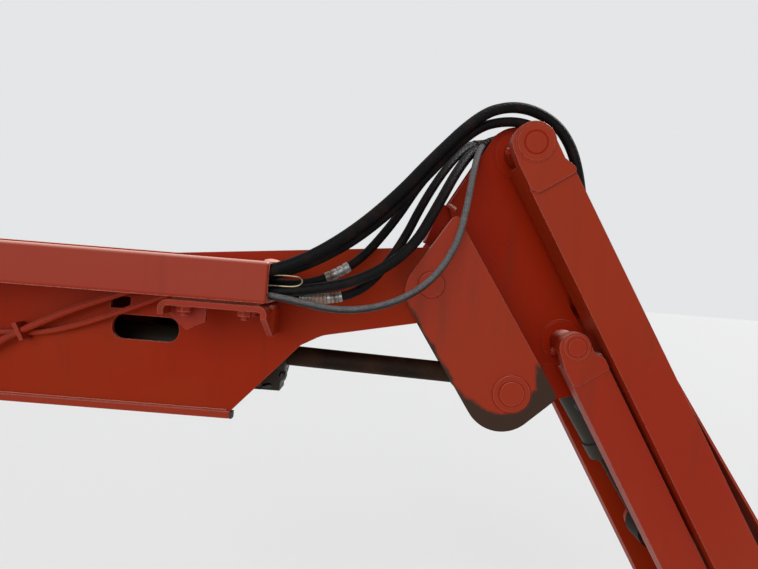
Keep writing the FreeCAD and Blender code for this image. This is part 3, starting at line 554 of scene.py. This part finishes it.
# %% Hose routes, in millimetres from the knuckle's pivot
HOSES = {
    # name: (radius, length in metres, material, points)
    "hose_run_1a": (9.0, 0.466, HOSE_BLACK, (
        (-330, -212, -6), (-262, -212, -4), (-194, -214, 20), (-127, -203, 67), (-66, -176, 129),
        (-14, -146, 196), (22, -122, 238))),
    "hose_run_1b": (8.0, 0.449, HOSE_BLACK, (
        (-330, -195, -13), (-273, -195, -11), (-205, -196, 7), (-131, -184, 51), (-70, -159, 109),
        (-18, -132, 173), (16, -112, 216))),
    "hose_run_2": (7.0, 0.620, HOSE_BLACK, (
        (-330, -164, -14), (-276, -169, -13), (-195, -169, -18), (-120, -158, 20), (-66, -136, 93),
        (-28, -98, 163), (16, -42, 222), (58, 10, 258), (110, 30, 262))),
    "hose_run_3": (7.0, 0.644, HOSE_BLACK, (
        (-330, -179, -27), (-274, -181, -24), (-192, -184, -37), (-108, -178, -24), (-54, -154, 54),
        (-20, -116, 135), (22, -64, 208), (63, -7, 253), (110, 12, 262))),
    "hose_run_4": (8.2, 0.623, HOSE_WORN, (
        (-330, -197, -31), (-276, -198, -31), (-198, -202, -24), (-108, -195, -2), (-37, -173, 50),
        (0, -134, 124), (33, -82, 193), (67, -27, 242), (110, -7, 258))),
    "hose_run_5": (5.4, 0.684, HOSE_GREY, (
        (-330, -215, -30), (-272, -215, -29), (-207, -214, -36), (-136, -214, -48), (-65, -207, -34),
        (-5, -188, 4), (31, -166, 62), (44, -147, 122), (56, -102, 184), (66, -66, 226), (84, -36, 254),
        (110, -26, 262))),
    "hose_top_1a": (9.0, 0.529, HOSE_BLACK, (
        (22, -122, 238), (60, -98, 281), (108, -78, 304), (153, -69, 304), (195, -68, 283),
        (221, -69, 248), (236, -70, 206), (245, -70, 163), (260, -70, 119), (281, -70, 75),
        (307, -70, 35), (333, -70, -3))),
    "hose_top_1b": (8.0, 0.510, HOSE_BLACK, (
        (16, -112, 216), (52, -92, 259), (104, -74, 281), (152, -68, 280), (188, -69, 255),
        (210, -70, 213), (221, -70, 166), (238, -70, 116), (263, -70, 71), (290, -70, 28), (316, -70, -14))),
    "feed_hose_upper": (5.5, 0.36, ORANGE_GRIMY, (
        (-780, -127, -205), (-728, -127, -182), (-671, -128, -140), (-620, -130, -112.5),
        (-566, -132.5, -85.5), (-512, -136, -63), (-455, -138.6, -40.5))),
    "feed_hose_lower": (4.5, 0.40, ORANGE_GRIMY, (
        (-780, -121, -146), (-727, -119, -138), (-672, -118, -131), (-619, -118.5, -128.5),
        (-566, -123, -113.5), (-512, -129, -92.5), (-455, -134.5, -68.5), (-400, -137.5, -43))),
}
print(len(HOSES), "hose routes")

# %% Curves into tubes


def deselect():
    bpy.ops.object.select_all(action="DESELECT")


def only(piece):
    """Makes one piece the selected and active one."""
    deselect()
    piece.select_set(True)
    bpy.context.view_layer.objects.active = piece


def coated(piece, material, smooth):
    """Gives the active piece one material, and smooth shading up to an angle in degrees."""
    piece.data.materials.clear()
    piece.data.materials.append(material)
    bpy.ops.object.shade_smooth_by_angle(angle=math.radians(smooth))


def open_curve(name, kind, places, steps=1):
    """A curve of one open spline with its control points at these places."""
    data = bpy.data.curves.new(name, "CURVE")
    data.dimensions = "3D"
    data.resolution_u = steps
    spline = data.splines.new(kind)
    spline.points.add(len(places) - 1)
    for control, place in zip(spline.points, places):
        control.co = (*place, 1)
    curve = bpy.data.objects.new(name, data)
    bpy.context.scene.collection.objects.link(curve)
    return curve


def smooth_curve(name, points, steps):
    """A NURBS curve with drawing positions as its control points."""
    curve = open_curve(name, "NURBS", [drawn(*point) for point in points], steps)
    spline = curve.data.splines[0]
    spline.order_u = 3
    spline.use_endpoint_u = True
    return curve


def line_of(curve):
    """The points that the smooth curve itself passes through."""
    bare = bpy.data.meshes.new_from_object(curve)
    line = [vertex.co.copy() for vertex in bare.vertices]
    bpy.data.meshes.remove(bare)
    return line


def tube_of(curve, radius, rings, material, smooth):
    """Gives a curve a round section, with its radius in millimetres, and makes it a mesh."""
    curve.data.bevel_depth = radius / 1000
    curve.data.bevel_resolution = rings
    curve.data.use_fill_caps = True
    only(curve)
    bpy.ops.object.convert(target="MESH")
    coated(bpy.context.object, material, smooth)
    return bpy.context.object


print("curve helpers ready")

# %% Hoses
HOSE_STEPS = 10
HOSE_RINGS = 5


def across_knuckle(piece):
    """Puts a hose piece's place into its mesh."""
    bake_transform(piece)


def hose(name, radius, length, material, points):
    """Makes one hose as a mesh tube round its curve, and gives back the curve's line."""
    curve = smooth_curve(name + "_skin", points, HOSE_STEPS)
    line = line_of(curve)
    skin = tube_of(curve, radius, HOSE_RINGS, material, 50)
    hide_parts(name)
    if name.startswith("hose_run"):
        across_knuckle(skin)
    elif name.startswith("hose_top"):
        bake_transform(skin)
    else:
        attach(skin, "boom")
    radius * 2 / 1000
    return line


hose_lines = {name: hose(name, *row) for name, row in HOSES.items()}
print(len(hose_lines), "hoses")

# %% [markdown]
# ## Fittings on the hoses
# A hose ends in a steel sleeve crimped round it, and two couplings sit in the bundle
# near the square tube. A turned cylinder would stick out of a bent hose, so each
# sleeve is a short curve that repeats a stretch of its hose's line, with its own
# radius at every point. It then bends as its hose does.

# %% Places along a hose


def place_on(line, distance):
    """The point at a distance along a line, in metres."""
    for start, end in zip(line, line[1:]):
        run = (end - start).length
        if distance <= run:
            return start.lerp(end, distance / run)
        distance -= run
    return line[-1]


def length_of(line):
    return sum((end - start).length for start, end in zip(line, line[1:]))


def distance_at(line, x):
    """How far along a line it first reaches a place along the boom."""
    reach = 0.0
    target = drawn(x, 0, 0).x
    for start, end in zip(line, line[1:]):
        if end.x >= target:
            return reach + (target - start.x) / (end.x - start.x) * (end - start).length
        reach += (end - start).length
    return reach


print("first hose", round(length_of(hose_lines["hose_run_1a"]), 3), "m")

# %% Sleeves and couplings
CRIMP_DEEP = 0.9
SLEEVE_LONG = 0.034
NUT_LONG = 0.012
TOP_SLEEVE_LONG = SLEEVE_LONG * 1.5
TOP_SLEEVE_GAP = 0.004


def crimped(radius):
    """The outline of a crimp sleeve: a lip, and a body pressed in at three places."""
    rows = [(0, radius - 1), (0.02, radius)]
    for groove in (0.25, 0.50, 0.75):
        rows += [(groove - 0.05, radius), (groove - 0.02, radius - CRIMP_DEEP),
                 (groove + 0.02, radius - CRIMP_DEEP), (groove + 0.05, radius)]
    return rows + [(0.98, radius), (1, radius - 1)]


def sleeve(name, line, start, end, radius, material):
    """A crimped fitting on a line, from one distance to another, with its radius in millimetres."""
    outline = crimped(radius)
    curve = open_curve(name, "POLY", [place_on(line, start + share * (end - start)) for share, _ in outline])
    for control, (_, size) in zip(curve.data.splines[0].points, outline):
        control.radius = size
    piece = tube_of(curve, 1, 4, material, 35)
    return piece


COUPLINGS = (
    # name, hose, from and to along the boom in millimetres, radius, material
    ("braided_sleeve", "hose_run_2", -164, -130, 8.3, STEEL),
    ("coupling_left", "hose_run_3", -199, -181, 8.0, STEEL),
    ("coupling_nut", "hose_run_3", -181, -158, 8.6, RUSTY),
    ("coupling_right", "hose_run_3", -158, -136, 8.0, STEEL),
)
NUTTED = ("hose_run_2", "hose_run_3", "hose_run_4", "hose_run_5")
for name, line in hose_lines.items():
    radius = HOSES[name][0]
    if name in NUTTED:
        end = length_of(line) - NUT_LONG
        crimp = sleeve(name + "_crimp", line, end - SLEEVE_LONG, end, radius + 1.6, BLACK_SLEEVE)
        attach(crimp, "knuckle")
    if name.startswith("hose_top"):
        end = length_of(line) - TOP_SLEEVE_GAP
        crimp = sleeve(name + "_crimp", line, end - TOP_SLEEVE_LONG, end, radius + 1.8, STEEL)
        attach(crimp, "jib_upper")
for name, on, start, end, radius, material in COUPLINGS:
    line = hose_lines[on]
    across_knuckle(sleeve(name, line, distance_at(line, start), distance_at(line, end), radius, material))
print(len(COUPLINGS), "couplings")

# %% [markdown]
# ## Bolts, nuts and keepers
# Small fasteners are turned shapes. A cylinder primitive would have neither chamfer
# nor washer, so `turned` starts with a filled circle, extrudes it step by step and
# scales each new face, as on a lathe. Six sides make it a hexagon.

# %% Turned pieces


def finished(piece, name, material, body, smooth=35):
    """Names a piece, puts its place into its mesh, and hands it to a body."""
    piece.name = name
    only(piece)
    bpy.ops.object.transform_apply(location=True, rotation=True, scale=True)
    coated(piece, material, smooth)
    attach(piece, body)
    return piece


def begin_edit():
    """Opens the active piece in edit mode, with all of it selected."""
    bpy.ops.object.mode_set(mode="EDIT")
    bpy.ops.mesh.select_all(action="SELECT")


def point_along(thing, axis, front="Z"):
    """Turns an object so that its front looks along an axis."""
    thing.rotation_mode = "QUATERNION"
    thing.rotation_quaternion = Vector(axis).to_track_quat(front, "Y")


def turned(name, at, axis, steps, sides, material, body):
    """A piece along an axis, from (advance, radius) steps in millimetres."""
    deselect()
    bpy.ops.mesh.primitive_circle_add(vertices=sides, radius=steps[0][1] / 1000, fill_type="NGON")
    piece = bpy.context.object
    begin_edit()
    height = 0.0
    size = steps[0][1]
    for advance, radius in steps[1:]:
        height += advance / 1000
        bpy.ops.mesh.extrude_region_move(TRANSFORM_OT_translate={"value": (0, 0, advance / 1000)})
        bpy.ops.transform.resize(value=(radius / size, radius / size, 1), center_override=(0, 0, height))
        size = radius
    bpy.ops.mesh.select_all(action="SELECT")
    bpy.ops.mesh.normals_make_consistent(inside=False)
    bpy.ops.object.mode_set(mode="OBJECT")
    point_along(piece, axis)
    piece.location = at
    return finished(piece, name, material, body)


print("lathe ready")

# %% Bolts on the bracket and on the pins, and nuts on the hoses
WASHER_THICK = 1.9
HEX_BOLTS = (
    # name, body, place and axis from the pivot, size of the head, thread that stands out
    ("bracket_bolt_rear", "boom", (-361, -208, -56.8), (0, 0, -1), 10.5, 5),
    ("bracket_bolt_front", "boom", (-273, -208, -56.8), (0, 0, -1), 10.5, 5),
    ("bracket_bolt_rear_inner", "boom", (-361, -140, -56.8), (0, 0, -1), 10.5, 5),
    ("bracket_bolt_front_inner", "boom", (-273, -140, -56.8), (0, 0, -1), 10.5, 5),
    ("upper_keeper", "jib_upper", (113.2, -110, 223), (-0.96, 0, -0.28), 7.5, 2),
    ("lower_keeper", "jib_lower", (224.6, -70, -95.6), (-0.68, 0, -0.73), 6.5, 2),
    ("upper_keeper_far", "jib_upper", (113.2, 110, 223), (-0.96, 0, -0.28), 7.5, 2),
    ("lower_keeper_far", "jib_lower", (224.6, 70, -95.6), (-0.68, 0, -0.73), 6.5, 2),
)
for name, body, at, axis, size, thread in HEX_BOLTS:
    away = Vector(axis) / 1000
    # Keepers get the darker red paint of the shaded plates, which is painted shade.
    paint = ORANGE_SHADED if "keeper" in name else ORANGE_GRIMY
    washer = [(0, size * 1.05), (0.3, size * 1.2), (1.8, size * 1.2), (0.3, size * 1.05)]
    turned(name + "_washer", drawn(*at) - away * 0.5, axis, washer, 28, paint, body)
    head = [(0, size), (size * 0.62, size), (size * 0.10, size * 0.88)]
    turned(name + "_head", drawn(*at) + away * WASHER_THICK, axis, head, 6, paint, body)
    stub = [(0, size * 0.5), (thread, size * 0.5), (0.8, size * 0.36)]
    turned(name + "_thread", drawn(*at) + away * (WASHER_THICK + size * 0.72), axis, stub, 16, paint, body)

for name in NUTTED:
    radius = HOSES[name][0]
    line = hose_lines[name]
    nut = [(0, radius + 1.2), (0.6, radius + 2.0), (10.5, radius + 2.0), (0.6, radius + 1.2)]
    turned(name + "_nut", line[-1], (line[-2] - line[-1]).normalized(), nut, 6, BLACK_SLEEVE, "knuckle")
print(len(HEX_BOLTS), "bolts and", len(NUTTED), "nuts")

# %% [markdown]
# ## Rings round the pins
# Where each pin's end meets the plate or boss, a flat ring of darker red paint stands
# for the shade in the groove: painted shade. Each boss is welded on with a soft uneven
# bead. A bump can't stand out of the outline, so both are real rings: the groove's is
# pressed flat, and the bead's vertices are pushed about at random, with a fixed seed,
# and smoothed.

# %% Grooves and weld beads
GROOVE_THICK = 1.25
GROOVE_FLAT = 0.35
BEAD_FLAT = 0.6
BEAD_RAGGED = 0.5
GROOVE_SHADES = (
    # name, body, centre, distance from the mid-plane, radius
    ("pivot_groove", "knuckle", PIVOT, 139.2, 20.4),
    ("level_groove", "knuckle", LEVEL, 141.2, 19.6),
    ("upper_groove", "jib_upper", UPPER, 155.1, 17.7),
    ("lower_groove", "jib_lower", LOWER, 135.2, 14.4),
    ("upper_end_groove", "jib_upper", UPPER_END, 155.1, 17.7),
    ("lower_end_groove", "jib_lower", LOWER_END, 135.2, 14.4),
)
BEADS = (
    # name, body, centre, distance from the mid-plane, radius, thickness
    ("upper_bead", "jib_upper", UPPER, 153.0, 30.0, 2.6),
    ("lower_bead", "jib_lower", LOWER, 133.0, 21.6, 2.0),
    ("upper_end_bead", "jib_upper", UPPER_END, 153.0, 30.0, 2.6),
    ("lower_end_bead", "jib_lower", LOWER_END, 133.0, 21.6, 2.0),
    ("upper_boss_bead", "knuckle", UPPER, 52.3, 43.2, 2.4),
    ("lower_boss_bead", "knuckle", LOWER, 52.3, 35.2, 2.4),
    ("level_boss_bead", "knuckle", LEVEL, 139.2, 29.8, 1.6),
)


def ring(name, spot, out, radius, thick, flat, ragged, material, body):
    """A ring about an axis along Y, out from a pin's middle. flat squashes it, ragged makes it uneven."""
    deselect()
    bpy.ops.mesh.primitive_torus_add(major_radius=radius / 1000, minor_radius=thick / 1000,
                                     major_segments=72, minor_segments=8)
    piece = bpy.context.object
    begin_edit()
    bpy.ops.transform.resize(value=(1, 1, flat), center_override=(0, 0, 0))
    if ragged:
        bpy.ops.transform.vertex_random(offset=ragged / 1000, seed=7)
        bpy.ops.mesh.vertices_smooth(factor=0.5, repeat=1)
    bpy.ops.object.mode_set(mode="OBJECT")
    point_along(piece, (0, 1, 0))
    piece.location = (spot.x, out / 1000, spot.z)
    return finished(piece, name, material, body, smooth=60)


for side, word in ((-1, "near"), (1, "far")):
    for name, body, spot, out, radius in GROOVE_SHADES:
        # The groove rings carry painted shade.
        ring(name + "_" + word, spot, side * out, radius, GROOVE_THICK, GROOVE_FLAT, 0, ORANGE_FLUSH_SHADED, body)
    for name, body, spot, out, radius, thick in BEADS:
        # Bosses between the plates get the darker red of painted shade.
        paint = ORANGE_SHADED if "boss" in name else ORANGE
        ring(name + "_" + word, spot, side * out, radius, thick, BEAD_FLAT, BEAD_RAGGED, paint, body)
print(2 * (len(GROOVE_SHADES) + len(BEADS)), "rings")

# %% [markdown]
# ## Weld seams and a wire clip
# The boom's side plates are welded to the bottom plate along their whole length. A
# plain rod would look like a wire, so the bead is turned like a bolt, but with hundreds
# of small steps whose radius ripples. A pale wire clip keeps the hoses together at the
# square tube's mouth. It is bent from one smooth curve, as a real one is.

# %% Seams
BEAD_PITCH = 3.2
BOOM_SIDE = 112
LIP_TOP = -232
SEAM_OFF = 0.6
SEAM_REAR = -905
SEAM_FRONT = -310
TUBE_SIDE = -227
PACKING_IN = 13


def seam(name, start, end, radius, material, body):
    """A straight rippled weld bead between two drawn places."""
    run = Vector(end) - Vector(start)
    steps = [(0, radius * 0.5)]
    for i in range(int(run.length / BEAD_PITCH)):
        ripple = 1 + 0.06 * math.sin(i * 2.4) + 0.08 * math.sin(i * 0.7)
        steps.append((BEAD_PITCH, radius * ripple))
    steps.append((radius * 0.4, radius * 0.5))
    return turned(name, drawn(*start), run, steps, 8, material, body)


for side, word in ((-1, "near"), (1, "far")):
    out = side * (BOOM_SIDE + SEAM_OFF)
    rear = (SEAM_REAR, out, LIP_TOP + SEAM_OFF)
    front = (SEAM_FRONT, out, LIP_TOP + SEAM_OFF)
    seam("bottom_seam_" + word, rear, front, 2.2, ORANGE_BOOM, "boom")
packing = TUBE_SIDE + PACKING_IN
seam("packing_seam", (-375, packing, -46.2), (-252, packing, -46.2), 2.0, ORANGE_GRIMY, "boom")
# The corner weld is pale with chalk and a painted highlight.
seam("corner_weld", (25, -51, 137.5), (41, -51, 127.5), 4.6, ORANGE_CHALKED_HIGHLIT, "knuckle")
print("four seams")

# %% Wire clip
CLIP_WIRE = 1.1
CLIP_STEPS = 8
CLIP_POINTS = ((-262, -209, -18), (-222, -208, -18), (-200, -207, -17), (-192, -207, -10), (-196, -207, -3),
               (-206, -208, -2), (-224, -209, -2), (-246, -209, -3))

clip = tube_of(smooth_curve("wire_clip", CLIP_POINTS, CLIP_STEPS), CLIP_WIRE, 3, WIRE, 60)
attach(clip, "boom")
print("wire clip", len(clip.data.vertices), "vertices")

# %% [markdown]
# ## Lumps of grease and weld metal
# Black grease hangs from the levelling cylinder's gland and sits on the lifting
# cylinder, and the square tube's end has a blob of weld on it. Neither has an edge, so
# each lump is an icosphere, stretched, pushed about at random with its own seed, and
# smoothed. Sculpting would look the same, but couldn't be run again.

# %% Lumps
LUMPS = (
    # name, body, material, place, size along x, y and z, seed
    ("grease_lump_low", "level_barrel", GREASE_BLACK, (-266, -14, -206), (15, 14, 8), 3),
    ("grease_lump_front", "level_barrel", GREASE_BLACK, (-243, -12, -186), (9, 14, 13), 5),
    ("grease_lump_ring", "level_barrel", GREASE_BLACK, (-240, 0, -166), (6, 24, 10), 8),
    ("grease_lump_rear", "level_barrel", GREASE_BLACK, (-282, -16, -204), (8, 10, 8), 11),
    ("grease_on_lift_a", "lift_barrel", GREASE_BLACK, (293, -24, -191), (13, 8, 15), 4),
    ("grease_on_lift_b", "lift_barrel", GREASE_BLACK, (308, -24, -208), (12, 8, 14), 9),
    # The weld blob on the tube's end is pale with chalk and a painted highlight.
    ("tube_end_weld", "boom", ORANGE_CHALKED_HIGHLIT, (-249, -150, 15.6), (13, 30, 4.6), 6),
)
LUMP_RAGGED = 0.0035
for name, body, material, at, size, seed in LUMPS:
    deselect()
    bpy.ops.mesh.primitive_ico_sphere_add(subdivisions=4, radius=0.001)
    lump = bpy.context.object
    begin_edit()
    bpy.ops.transform.resize(value=size, center_override=(0, 0, 0))
    bpy.ops.transform.vertex_random(offset=LUMP_RAGGED, seed=seed)
    bpy.ops.mesh.vertices_smooth(factor=0.6, repeat=3)
    bpy.ops.object.mode_set(mode="OBJECT")
    lump.location = drawn(*at)
    slot = "orange_paint" if body == "boom" else "cylinder_black"
    finished(lump, name, material, body, smooth=180)
print(len(LUMPS), "lumps")

# %% [markdown]
# ## Three small plates
# A plate closes the knuckle behind its pivot, another hangs below the near inner plate
# beside the lifting cylinder, and a black rubber flap hangs inside the boom behind its
# far slot, so the near slot looks black from outside: the flap's black stands for the
# shade inside the boom, painted shade. Each is a cube, stretched, bevelled and turned:
# a bar this simple needs no outline of its own.

# %% Flat plates


def plate(name, start, end, thick, near, far, material, body):
    """A flat bar from start to end in the drawing, and from near to far across it."""
    run = Vector((end[0] - start[0], 0, end[1] - start[1]))
    middle = ((start[0] + end[0]) / 2, (near + far) / 2, (start[1] + end[1]) / 2)
    deselect()
    bpy.ops.mesh.primitive_cube_add(size=0.001)
    piece = bpy.context.object
    begin_edit()
    bpy.ops.transform.resize(value=(run.length, far - near, thick), center_override=(0, 0, 0))
    bpy.ops.mesh.bevel(offset=0.0008, segments=2, affect="EDGES")
    bpy.ops.object.mode_set(mode="OBJECT")
    piece.rotation_euler = (0, -math.atan2(run.z, run.x), 0)
    piece.location = drawn(*middle)
    return finished(piece, name, material, body)


# The back plate and the skirt sit between the plates and get the darker red of painted shade.
plate("knuckle_back_plate", (30, 134), (7, 69), 30, -41.5, 41.5, ORANGE_SHADED, "knuckle")
plate("knuckle_skirt", (218, -85), (249, -180), 44, -51.9, -46, ORANGE_SHADED, "knuckle")
# The flap's black is painted shade for the inside of the boom.
plate("far_slot_flap", (-520, -92), (-385, -92), 76, 99.5, 103.6, BLACK_SLEEVE, "boom")
print("three plates")

# %% [markdown]
# ## Floor and light
# The stage is a plain pale floor below the hanging jib. A wide soft lamp in front
# shows the sides, a stronger one behind and above lights the faces that look up, and
# the world fills the shadows. More light would wash the orange out, so the pale
# background is the world's own colour instead, which only the camera, mirror-like
# reflections and rays through glass see.

# %% Stage
FLOOR_BELOW = 0.10
FLOOR_SIZE = 60
deselect()
bpy.ops.mesh.primitive_plane_add(size=1, location=(1.0, 0.0, CAD_LOW.z - FLOOR_BELOW))
floor = bpy.context.object
floor.name = "floor"
begin_edit()
bpy.ops.transform.resize(value=(FLOOR_SIZE, FLOOR_SIZE, 1))
bpy.ops.object.mode_set(mode="OBJECT")
floor.data.materials.append(Finish("pale_floor").surface((0.62, 0.62, 0.61), Roughness=0.9))
print("floor at", round(floor.location.z, 3))

# %% Lamps and world
LAMPS = (
    # name, direction that it shines in, strength, softness in degrees
    ("front_lamp", (0.35, 1.0, -0.28), 1.62, 50),
    ("back_lamp", (-0.75, -0.55, -1.0), 3.2, 25),
)
FILL_COLOUR = (0.88, 0.90, 0.94, 1)
FILL_STRENGTH = 0.40
SHOWN_COLOUR = (0.78, 0.79, 0.80, 1)
for name, shines, strength, soft in LAMPS:
    data = bpy.data.lights.new(name, "SUN")
    data.energy = strength
    data.angle = math.radians(soft)
    lamp = bpy.data.objects.new(name, data)
    point_along(lamp, shines, front="-Z")
    bpy.context.scene.collection.objects.link(lamp)

world = bpy.data.worlds.new("world")
bpy.context.scene.world = world
sky = NodeTree(world)
rays = sky.add("ShaderNodeLightPath")
direct, mirrored, through = sky.outputs(rays, "Is Camera Ray", "Is Glossy Ray", "Is Transmission Ray")
seen = direct.most(mirrored).most(through)
fill = sky.add("ShaderNodeBackground", inputs={"Color": FILL_COLOUR, "Strength": FILL_STRENGTH})
shown = sky.add("ShaderNodeBackground", inputs={"Color": SHOWN_COLOUR, "Strength": 1.0})
sky.close("ShaderNodeOutputWorld", sky.add("ShaderNodeMixShader", inputs={"Fac": seen, 1: fill, 2: shown}))
bpy.context.scene.view_settings.view_transform = "Standard"
print(len(LAMPS), "lamps and the world ready")
